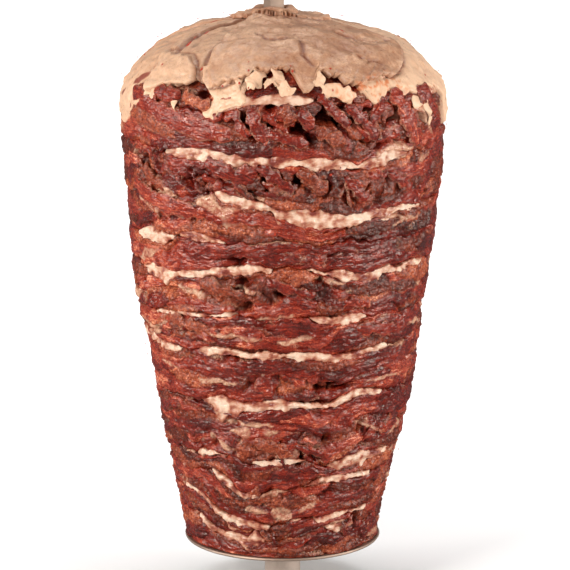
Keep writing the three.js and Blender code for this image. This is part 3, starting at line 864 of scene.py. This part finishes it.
# Larger flaps and slices of meat that lie free: (from angle, from height, to angle, to height, stand,
# width, thickness, bow, shade, coarse).
FLAPS = [
    (-63, 461, -19, 429, 0.6, 22, 5, 4, 0.62, 0), (-66, 446, -38, 431, 0.8, 17, 5, 0, 0.75, 1),
    (-50, 470, -38, 465, 1.0, 13, 6, 0, 0.55, 0), (-36, 468, -26, 458, 1.4, 13, 6, 1, 1.0, 1),
    (-11, 457, -6, 428, 0.5, 12, 6, 2, 0.5, 0), (-17, 456, -12, 430, 0.5, 9, 5, 5, 0.6, 0),
    (0, 459, 4, 445, 1.5, 14, 8, 0, 0.6, 1), (6, 457, 10, 440, 1.0, 12, 7, -2, 0.5, 0),
    (13, 469, 23, 440, 1.6, 10, 6, 1, 0.4, 0), (23, 461, 34, 429, 2.2, 11, 6, -2, 0.45, 0),
    (37, 466, 31, 437, 1.2, 10, 6, 2, 0.35, 0), (42, 468, 54, 416, 1.6, 21, 5, 3, 0.8, 0),
    (56, 470, 66, 440, 1.0, 17, 5, 0, 0.5, 0), (-26, 405, -10, 389, 0.8, 19, 6, 2, 0.4, 0),
    (-7, 403, 3, 381, 1.0, 12, 6, 0, 0.35, 0), (6, 400, 15, 380, 1.2, 12, 6, -1, 0.6, 1),
    (22, 391, 30, 368, 1.2, 11, 6, 1, 0.5, 0), (-68, 372, -30, 352, 0.6, 18, 5, 3, 0.8, 0),
    (-58, 393, -45, 376, 1.4, 12, 7, 0, 0.7, 1), (40, 393, 53, 371, 1.0, 12, 6, 1, 0.5, 0),
    (-33, 286, -14, 276, 1.2, 13, 6, 0, 0.6, 1), (-6, 291, 12, 276, 1.0, 11, 6, 1, 0.45, 0),
    (-14, 127, 7, 114, 1.0, 12, 6, 0, 0.7, 1), (4, 123, 22, 111, 1.2, 10, 6, 1, 0.4, 0),
    (-5, 436, 8, 425, 1.2, 12, 6, 0, 0.5, 0), (12, 437, 22, 424, 1.2, 13, 6, 0, 0.65, 1),
    (-52, 246, -28, 238, 0.6, 12, 5, 0, 0.8, 1), (30, 240, 52, 233, 0.6, 12, 5, 0, 0.5, 0),
]


def flap_looks(along, side, rim, shade, coarse, pale, fat):
    """What the meat's material reads on a flap, from one value a flap."""
    each = lambda value: np.asarray(value, float)[:, None, None] + 0 * along
    own = each(np.arange(len(along)))
    return {
        "fat": each(fat), "painted_gap_shade": 0 * along, "shade": each(shade), "coarse": each(coarse),
        "pale": each(pale) * smooth(0.75, 1.0, np.abs(rim)),
        "grain": np.stack([along + own * 170, side, own * 900], -1),
    }


def free_slices(material):
    """The larger flaps, the same again half round."""
    table = np.array(FLAPS, float)
    table = np.concatenate([table, table + [180, 0, 180, 0, 0, 0, 0, 0, 0, 0]])
    a0, z0, a1, z1, stand, width, thick, bow, shade, coarse = table.T
    none = 0 * a0
    around = np.radians(a1 - a0) * flank(a0, (z0 + z1) / 2)
    length = np.hypot(around, z1 - z0) * 1.08
    turn = np.arctan2(z1 - z0, around)
    points, faces, along, side, rim = strips(
        (a0 + a1) / 2, (z0 + z1) / 2, stand, turn, none, length, width, thick, none - 2.0, bow,
        on_flank, 521, 33, 16, 5.0, 1.3, 0.35,
    )
    looks = flap_looks(along, side, rim, shade, coarse, none + 0.8, none)
    return mesh_object("free_slices", points, faces, material, looks)


def torn_flaps(material):
    """Small flaps and strips of meat in the torn places, scattered by chance, kept where torn and off the
    holes between the chunks."""
    draw = np.random.default_rng(7)
    tries = 3800
    angle = draw.uniform(-180, 180, tries)
    height = draw.uniform(4, 458, tries)
    at = place(angle, flank(angle, height), height)
    torn = torn_share(angle, height, at)
    keep = (torn > draw.uniform(0.35, 1.1, tries)) & (noise(at, 15, PITS) < 0.16)
    angle, height = angle[keep], height[keep]
    count = len(angle)
    points, faces, along, side, rim = strips(
        angle, height, draw.uniform(-4.5, 0.6, count), draw.uniform(-1.4, 1.4, count),
        draw.uniform(-0.7, 1.0, count), draw.uniform(11, 30, count), draw.uniform(5.5, 13, count),
        draw.uniform(2.2, 4.6, count), draw.uniform(-3.5, 1.5, count), draw.uniform(-2.5, 2.5, count),
        on_flank, 501, 8, 6,
    )
    coarse = draw.uniform(0, 1, count) < 0.42
    fat = draw.uniform(0, 1, count) < 0.03
    pale = draw.uniform(0, 1, count) < 0.35
    looks = flap_looks(along, side, rim, draw.uniform(0, 1, count), coarse, pale, fat)
    return mesh_object("torn_flaps", points, faces, material, looks)


# Scraps of fat under the cap's hem: (angle, height, stand, turn, roll, length, width, thickness, curl,
# bow).
SCRAPS = [
    (-8.5, 486, 1.0, 1.1, 0.6, 17, 12, 1.6, -2, 2), (-4.0, 483, 2.4, 0.4, -0.5, 14, 9, 1.5, -2, -3),
    (-10.5, 477, 3.0, -0.3, 0.5, 9, 7, 1.8, -1, 1), (1.5, 475, 1.4, -0.6, 0.4, 17, 10, 1.6, -2, 2),
    (-1.0, 487, -1.0, 1.4, 0.4, 15, 12, 1.5, 0, 1), (14.5, 478, 2.0, -1.0, 0.4, 22, 12, 1.6, -2, 2),
    (20.5, 472, 3.2, -0.45, 0.3, 30, 14, 1.8, -2, -2), (-50, 468, 1.0, 1.1, 0.3, 13, 5, 1.5, -1, 1),
    (-54, 462, 1.0, 0.8, 0.4, 12, 6, 1.5, -1, 0), (-38.5, 458, 3.6, 1.5, 0.0, 9, 4, 1.6, 0, 0),
    (59, 444, 2.8, -1.1, 0.2, 26, 6, 1.5, -1, 1), (-15.5, 479, 1.2, 1.2, 0.4, 13, 6, 1.5, -1, 0),
    (52, 456, 2.4, -0.9, 0.2, 16, 7, 1.5, -1, 1),
]


def fat_scraps(material):
    """Thin torn scraps of fat that hang below the cap's hem, the same again half round."""
    table = np.array(SCRAPS, float)
    table = np.concatenate([table, table + [180, -6, 0.5, 0.2, 0, 0, 0, 0, 0, 0]])
    points, faces, along, _, rim = strips(*table.T, on_dome, 541, 25, 14, 9.0, 2.2, 0.3)
    oil = smooth(0.2, 0.5, noise(points, 5, 306)) * (np.abs(table[:, 0] - 29) < 9)[:, None, None] * 0.8
    looks = cap_looks(along, rim=smooth(0.8, 1, np.abs(rim)) * 0.8, oil=oil, low=1.25)
    return mesh_object("fat_scraps", points, faces, material, looks)


def chilli_flecks(material):
    """Thin flecks of chilli, most a millimetre or two across, scattered over the cap and the meat."""
    draw = np.random.default_rng(11)
    count = 110
    angle = draw.uniform(-180, 180, count)
    on_cap = draw.uniform(0, 1, count) < 0.4
    height = np.where(on_cap, draw.uniform(470, 526, count), draw.uniform(20, 470, count))
    angle[:3], height[:3] = (-46.0, -44.0, -30.5), (508.0, 517.0, 490.0)
    size = draw.uniform(0.9, 2.0, count)
    size[:3] = (3.6, 2.4, 2.2)
    stand = np.where(height > 470, 4.4, 3.0)
    none = size * 0
    points, faces, _, _, _ = strips(
        angle, height, stand, draw.uniform(0, 3, count), draw.uniform(-0.3, 0.3, count),
        size * 1.4, size, none + 0.7, none, none, on_dome, 561, 5, 6, 4.0, 0.2,
    )
    return mesh_object("chilli_flecks", points, faces, material, {})


def juice_drip(material):
    """A drop of juice that has run on to the front of the foot, just below the plate."""
    one = np.ones(2)
    points, faces, _, _, _ = strips(
        one * [-0.6, 0.4], one * [-4.6, -6.5], one * 0.1, one * [0.1, 1.5], 0 * one, one * [6.5, 5.0],
        one * [3.4, 2.2], one * 1.4, 0 * one, 0 * one, on_foot, 581, 13, 10, 2.5, 0.15,
    )
    return mesh_object("juice_drip", points, faces, material, {})


# ---------------------------------------------------------------------------------------------------
# Materials
# ---------------------------------------------------------------------------------------------------
def srgb(r, g, b):
    """A screen colour from 0 to 255 as the linear colour that a shader takes."""
    c = np.array([r, g, b], float) / 255
    c = np.where(c < 0.04045, c / 12.92, ((c + 0.055) / 1.055) ** 2.4)
    return (*[float(x) for x in c], 1.0)


class Shader:
    """A material's node tree, with short calls that add a node and join it to the ones before."""

    def __init__(self, name):
        self.material = bpy.data.materials.new(name)
        self.material.use_nodes = True
        self.tree = self.material.node_tree
        self.tree.nodes.clear()
        self.body = self.add("BsdfPrincipled")
        self.add("OutputMaterial", Surface=self.body.outputs[0])
        self.where = self.add("TexCoord").outputs["Object"]

    def feed(self, value, socket):
        """Joins an output to a socket, or sets the socket to a number or a colour."""
        if hasattr(value, "is_output"):
            self.tree.links.new(value, socket)
        else:
            socket.default_value = value

    def add(self, kind, **sockets):
        """A new node, with its sockets fed by name, where an underscore stands for a space."""
        node = self.tree.nodes.new("ShaderNode" + kind)
        for key, value in sockets.items():
            self.feed(value, node.inputs[key.replace("_", " ")])
        return node

    def attribute(self, name, output="Fac"):
        node = self.add("Attribute")
        node.attribute_name = name
        return node.outputs[output]

    def noise(self, size, detail=3.0, stretch=(1, 1, 1), roughness=0.55):
        """Noise whose lumps are about `size` millimetres, longer along an axis by its stretch."""
        at = self.add("Mapping", Vector=self.where, Scale=[METRE / size / s for s in stretch]).outputs[0]
        node = self.add("TexNoise", Vector=at, Scale=1.0, Detail=detail, Roughness=roughness)
        return node.outputs["Fac"]

    def grain_noise(self, name, size, detail=3.0):
        """Noise in a lump's own grain, sized in millimetres along it, across it and from lump to lump."""
        grain = self.attribute(name, "Vector")
        at = self.add("Mapping", Vector=grain, Scale=[1.0 / x for x in size]).outputs[0]
        return self.add("TexNoise", Vector=at, Scale=1.0, Detail=detail).outputs["Fac"]

    def facing(self):
        """0 where a surface faces the eye and 1 where it turns away."""
        return self.add("LayerWeight", Blend=0.5).outputs["Facing"]

    def math(self, operation, a, b=0.0, clamp=False):
        node = self.add("Math")
        node.operation = operation
        node.use_clamp = clamp
        self.feed(a, node.inputs[0])
        self.feed(b, node.inputs[1])
        return node.outputs[0]

    def swing(self, grain, share, middle=0.5):
        """How far a noise is above its middle, times a share."""
        return self.math("MULTIPLY", self.math("SUBTRACT", grain, middle), share)

    def between(self, value, low, high, to_low=0.0, to_high=1.0):
        """A value carried smoothly from one range to another, and held at its ends."""
        node = self.add("MapRange", Value=value, From_Min=low, From_Max=high, To_Min=to_low, To_Max=to_high)
        node.interpolation_type = "SMOOTHSTEP"
        return node.outputs[0]

    def mix(self, share, a, b):
        node = self.add("Mix")
        node.data_type = "RGBA"
        self.feed(share, node.inputs["Factor"])
        self.feed(a, node.inputs["A"])
        self.feed(b, node.inputs["B"])
        return node.outputs["Result"]

    def ramp(self, value, stops):
        node = self.add("ValToRGB")
        band = node.color_ramp
        while len(band.elements) < len(stops):
            band.elements.new(0.5)
        for element, (at, colour) in zip(band.elements, stops):
            element.position = at
            element.color = colour
        self.feed(value, node.inputs[0])
        return node.outputs["Color"]

    def bump(self, height, strength, distance, before=None):
        below = {} if before is None else {"Normal": before}
        node = self.add("Bump", Strength=strength, Distance=distance / METRE, Height=height, **below)
        return node.outputs[0]

    def set(self, **sockets):
        for key, value in sockets.items():
            self.feed(value, self.body.inputs[key.replace("_", " ")])


def raw_meat():
    """Raw meat: dark to pinkish red-brown by slice, fibres along its grain, coarse browned slices, fat
    streaks and pale rims, painted shade near black in the pits and seams, and wet with small glints."""
    s = Shader("raw_meat")
    shade, fat, painted_gap_shade = s.attribute("shade"), s.attribute("fat"), s.attribute("painted_gap_shade")
    coarse, pale = s.attribute("coarse"), s.attribute("pale")
    fibres = s.grain_noise("grain", (10.0, 1.1, 40.0), 3)
    layers = s.noise(1.7, 3, (7, 7, 1))
    flecks = s.noise(1.5, 3)
    crumbs = s.noise(3.0, 4, roughness=0.65)
    patches = s.noise(13, 3)
    tone = s.math("ADD", s.math("MULTIPLY", shade, 0.46), 0.2)
    for grain, share in ((fibres, 1.3), (layers, 0.5), (flecks, 0.9), (patches, 0.5)):
        tone = s.math("ADD", tone, s.swing(grain, share))
    red = s.ramp(tone, [
        (0.0, srgb(62, 14, 9)), (0.28, srgb(96, 20, 12)), (0.52, srgb(128, 34, 20)),
        (0.78, srgb(172, 70, 46)), (1.0, srgb(226, 146, 110)),
    ])
    tone_coarse = s.math("ADD", s.math("MULTIPLY", shade, 0.45), s.swing(crumbs, 1.25, 0.31))
    brown = s.ramp(s.math("ADD", tone_coarse, s.swing(flecks, 0.5)), [
        (0.0, srgb(52, 14, 8)), (0.35, srgb(96, 31, 16)), (0.6, srgb(136, 56, 32)),
        (0.85, srgb(184, 94, 60)), (1.0, srgb(230, 158, 118)),
    ])
    colour = s.mix(coarse, red, brown)
    stained = s.math("ADD", s.math("MULTIPLY", patches, 0.7), s.math("MULTIPLY", crumbs, 0.9))
    white = s.ramp(stained, [
        (0.5, srgb(218, 182, 154)), (0.75, srgb(192, 142, 114)), (0.95, srgb(156, 86, 66)),
    ])
    fat_here = s.math("MAXIMUM", fat, s.math("MULTIPLY", pale, s.between(flecks, 0.38, 0.6)), clamp=True)
    colour = s.mix(fat_here, colour, white)
    # Painted shade: near-black red where painted_gap_shade is high, in pits, seams and behind the rim.
    colour = s.mix(s.between(painted_gap_shade, 0.1, 1.0, 0.0, 0.8), colour, srgb(40, 5, 3))
    s.set(Base_Color=colour)
    wet = s.noise(7, 2)
    s.set(Roughness=s.between(wet, 0.38, 0.62, 0.12, 0.36))
    s.set(Subsurface_Weight=0.06, Subsurface_Radius=(1.0, 0.2, 0.12), Subsurface_Scale=0.002)
    gloss_in_gaps = s.between(painted_gap_shade, 0.1, 0.7, 1.0, 0.1)
    gloss = s.math("MULTIPLY", s.between(s.facing(), 0.3, 0.9, 0.75, 0.15), gloss_in_gaps)
    s.set(IOR=1.48, Specular_IOR_Level=gloss, Specular_Tint=(1.0, 0.88, 0.8, 1.0))
    facets = s.noise(3.6, 1.5, (2.2, 2.2, 1))
    bumps = s.bump(facets, 1.0, 2.2)
    bumps = s.bump(fibres, 0.5, 0.8, bumps)
    bumps = s.bump(crumbs, s.math("MULTIPLY", coarse, 0.6), 1.0, bumps)
    s.set(Normal=s.bump(flecks, 0.4, 0.8, bumps))
    return s.material


def raw_fat():
    """Raw fat at a sheet's cut edge: cream, flushed with pink and stained towards its borders, and wet."""
    s = Shader("raw_fat")
    blood = s.attribute("blood")
    cloud = s.noise(8, 4)
    fine = s.noise(1.7, 4, (2, 2, 1))
    flush = s.math("ADD", s.math("ADD", blood, s.swing(cloud, 1.0)), s.swing(fine, 0.8))
    colour = s.ramp(flush, [
        (0.0, srgb(224, 192, 168)), (0.25, srgb(206, 164, 140)), (0.5, srgb(186, 132, 106)),
        (0.72, srgb(160, 92, 70)), (1.0, srgb(118, 48, 36)),
    ])
    s.set(Base_Color=colour, Roughness=s.between(cloud, 0.3, 0.7, 0.2, 0.4), IOR=1.4)
    s.set(Specular_IOR_Level=s.between(s.facing(), 0.3, 0.9, 0.6, 0.15))
    s.set(Subsurface_Weight=0.15, Subsurface_Radius=(1.0, 0.5, 0.3), Subsurface_Scale=0.003)
    facets = s.noise(5.0, 1.5, (1.6, 1.6, 1))
    s.set(Normal=s.bump(fine, 0.35, 0.6, s.bump(facets, 0.8, 2.0)))
    return s.material


def cap_skin():
    """The cap's fat: pink-beige and dull, mottled, with creases of dark red, stains of meat, drops of
    orange oil and a fine leathery grain, with painted shade in its hollows and under the collar, and
    painted shadow lines along the grooves under overlying edges."""
    s = Shader("cap_skin")
    hollow, rim, low = s.attribute("hollow"), s.attribute("rim"), s.attribute("low")
    cloud = s.noise(24, 4)
    mottle = s.noise(5, 4, roughness=0.65)
    grain = s.noise(1.8, 3)
    tone = s.math("ADD", s.swing(cloud, 1.3), 0.52)
    tone = s.math("ADD", s.math("ADD", tone, s.swing(mottle, 0.8)), s.swing(grain, 0.5))
    colour = s.ramp(tone, [
        (0.1, srgb(126, 76, 52)), (0.36, srgb(156, 108, 80)), (0.6, srgb(178, 132, 102)),
        (0.9, srgb(216, 174, 142)),
    ])
    cream = s.mix(mottle, srgb(206, 160, 126), srgb(240, 204, 172))
    colour = s.mix(s.math("MULTIPLY", low, 0.8, True), colour, cream)
    # Painted shade: browner where hollow is high, in the folds' hollows and under the collar.
    colour = s.mix(s.between(hollow, 0.2, 1.0, 0.0, 0.4), colour, srgb(160, 106, 82))
    vein = s.noise(15, 5, roughness=0.7)
    thin = s.math("ABSOLUTE", s.math("SUBTRACT", vein, 0.5))
    crease = s.math("MULTIPLY", s.between(thin, 0.0, 0.01, 1.0, 0.0), s.between(cloud, 0.5, 0.6))
    colour = s.mix(s.math("MULTIPLY", crease, 0.6), colour, srgb(128, 60, 42))
    colour = s.mix(s.math("MULTIPLY", rim, 0.25), colour, srgb(196, 130, 98))
    # Painted shadow: a dark brown line along the grooves where an upper sheet's edge lies over this one.
    groove = s.math("MULTIPLY", s.attribute("groove"), s.between(mottle, 0.3, 0.6, 0.5, 1.0))
    colour = s.mix(groove, colour, srgb(112, 56, 36))
    colour = s.mix(s.attribute("stain"), colour, s.mix(mottle, srgb(112, 48, 38), srgb(150, 84, 66)))
    colour = s.mix(s.math("MULTIPLY", s.attribute("oil"), 0.75), colour, srgb(206, 104, 38))
    s.set(Base_Color=colour, Roughness=s.between(mottle, 0.3, 0.7, 0.26, 0.45), IOR=1.42)
    s.set(Subsurface_Weight=0.1, Subsurface_Radius=(1.0, 0.5, 0.3), Subsurface_Scale=0.002)
    dents = s.noise(4.5, 3)
    s.set(Normal=s.bump(grain, 0.35, 0.8, s.bump(dents, 0.4, 1.5, s.bump(cloud, 0.5, 6.0))))
    return s.material


def chilli():
    """Dried chilli: dark orange-red, mottled and slightly glossy."""
    s = Shader("chilli")
    mottle = s.noise(1.2, 3)
    s.set(Base_Color=s.mix(mottle, srgb(196, 58, 20), srgb(130, 24, 10)))
    s.set(Roughness=s.between(mottle, 0, 1, 0.3, 0.5))
    s.set(Normal=s.bump(mottle, 0.5, 0.3))
    return s.material


def steel(name, length_axis, tone, metallic, rough):
    """Brushed steel: fine lines along one axis, with smears that change its gloss. tone is its colour from
    0 to 255, metallic and rough how mirror-like it is."""
    s = Shader(name)
    stretch = [1, 1, 1]
    stretch[length_axis] = 60
    lines = s.noise(0.5, 2, stretch)
    smears = s.noise(26, 3)
    dull = [0.9 * channel for channel in tone]
    colour = s.mix(s.between(smears, 0.35, 0.7), srgb(*tone), srgb(*dull))
    s.set(Base_Color=colour, Metallic=metallic)
    s.set(Roughness=s.between(smears, 0.3, 0.7, rough, rough + 0.08))
    s.set(Normal=s.bump(lines, 0.15, 0.1))
    return s.material


# ---------------------------------------------------------------------------------------------------
# Camera, light and floor
# ---------------------------------------------------------------------------------------------------
def camera():
    """A long lens in front of the stack, a little above its middle and looking slightly down."""
    data = bpy.data.cameras.new("camera")
    data.lens, data.sensor_width = LENS, SENSOR
    data.clip_end = 50.0
    obj = bpy.data.objects.new("camera", data)
    obj.location = (CAMERA_ASIDE, -CAMERA_AWAY, CAMERA_ABOVE_PLATE + PLATE_TOP / METRE)
    obj.rotation_euler = (math.radians(90 - CAMERA_DOWN), 0, 0)
    bpy.context.scene.collection.objects.link(obj)
    bpy.context.scene.camera = obj


def softbox(name, at, size, power, colour=(1, 1, 1), aim=(0, 0, 0.33), spread=180):
    """A rectangular light turned to a point, its beam narrowed by a grid to the spread in degrees."""
    data = bpy.data.lights.new(name, "AREA")
    data.shape, data.size, data.size_y = "RECTANGLE", size[0], size[1]
    data.energy, data.color, data.spread = power, colour, math.radians(spread)
    obj = bpy.data.objects.new(name, data)
    obj.location = at
    away = obj.location - mathutils.Vector(aim)
    obj.rotation_euler = away.to_track_quat("Z", "Y").to_euler()
    obj.visible_camera = False
    bpy.context.scene.collection.objects.link(obj)


def stage():
    """A wide pale floor, a weak white sky, a key and a fill in front, a softbox at each side, and a panel
    behind that whitens the floor."""
    size = 12.0
    mesh = bpy.data.meshes.new("floor")
    corners = [(-size, -size, 0), (size, -size, 0), (size, size, 0), (-size, size, 0)]
    mesh.from_pydata(corners, [], [(0, 1, 2, 3)])
    s = Shader("pale_floor")
    tone = s.noise(900, 2)
    s.set(Base_Color=s.mix(tone, (0.90, 0.90, 0.90, 1), (0.94, 0.94, 0.94, 1)), Roughness=0.9)
    mesh.materials.append(s.material)
    floor = bpy.data.objects.new("floor", mesh)
    bpy.context.scene.collection.objects.link(floor)
    floor.visible_glossy = False  # wet meat would mirror it as a grey veil
    world = bpy.data.worlds.new("sky")
    world.use_nodes = True
    world.node_tree.nodes["Background"].inputs["Color"].default_value = (1, 1, 1, 1)
    world.node_tree.nodes["Background"].inputs["Strength"].default_value = SKY
    bpy.context.scene.world = world
    softbox("key", (-1.75, -1.95, 1.35), (0.8, 0.8), 60, (1, 0.97, 0.93))
    softbox("fill", (2.1, -1.5, 0.9), (0.8, 1.2), 34, (1, 0.98, 0.95))
    softbox("left_side", (-2.6, -0.3, 0.8), (0.7, 1.2), 26, (1, 0.98, 0.95))
    softbox("right_side", (2.6, -0.3, 0.8), (0.7, 1.2), 30, (1, 0.98, 0.95))
    softbox("floor_panel", (0.0, 4.6, 3.3), (5.0, 8.4), 185, (1, 1, 1), (0.0, 4.6, 0.0), 70)
    bpy.context.scene.view_settings.view_transform = "Standard"
    bpy.context.scene.view_settings.look = "None"


# ---------------------------------------------------------------------------------------------------
# Everything together
# ---------------------------------------------------------------------------------------------------
camera()
stage()
meat_look, fat_look, cap_look = raw_meat(), raw_fat(), cap_skin()

for index in range(TIERS):
    put(meat_tier(index, meat_look), "meat", f"meat_tier_{index + 1:02d}")
for index in range(len(STRATA)):
    put(fat_sheet(index, fat_look), "fat", f"fat_sheet_{index + 1:02d}")
for draped in CAP_SHEETS:
    stands_for = [f"fat_cap_{draped['node']}"] if draped["node"] else []
    put(cap_sheet(draped, cap_look), "cap_fat", *stands_for)
put(collar(cap_look), "cap_fat", "fat_collar")

put(free_slices(meat_look), "meat")
put(torn_flaps(meat_look), "meat")
put(fat_scraps(cap_look), "cap_fat")
chilli_look = chilli()
put(chilli_flecks(chilli_look), "meat")
put(juice_drip(chilli_look), "meat")

# Each steel piece has its own look, as its lines run its own way: its axis, tone, metallic and roughness.
STEELS = {
    "foot": (2, (226, 204, 188), 0.45, 0.34), "bar": (2, (172, 150, 134), 0.8, 0.6),
    "plate": (0, (190, 164, 146), 0.8, 0.4),
}
for node, finish in STEELS.items():
    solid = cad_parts[node]
    solid.data.materials.clear()
    solid.data.materials.append(steel(f"brushed_steel_{node}", *finish))
